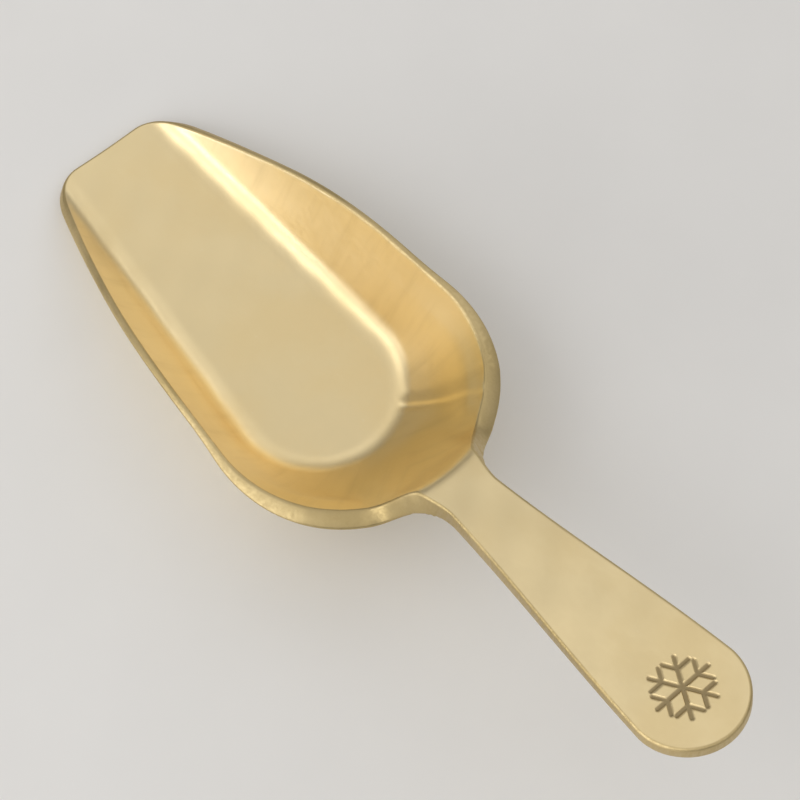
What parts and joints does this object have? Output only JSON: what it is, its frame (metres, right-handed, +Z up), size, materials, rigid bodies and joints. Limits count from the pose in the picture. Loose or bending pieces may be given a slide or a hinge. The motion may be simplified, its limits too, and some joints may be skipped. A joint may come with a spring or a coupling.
{
  "type": "ice scoop",
  "caption": "Small solid brass hand scoop: an open-mouthed bowl with a flat floor and leaning walls, its back wall drawn out into a flat rising handle with a round end.",
  "frame": {"origin": "centre of the scoop's length and width, on the surface it rests on", "axes": "+X towards the mouth, +Y to the left of the mouth direction, +Z up"},
  "size_m": [0.1166, 0.0392, 0.0375],
  "materials": {
    "brass": "satin"
  },
  "bodies": {
    "root": {"scoop_body": "brass"}
  },
  "joints": []
}
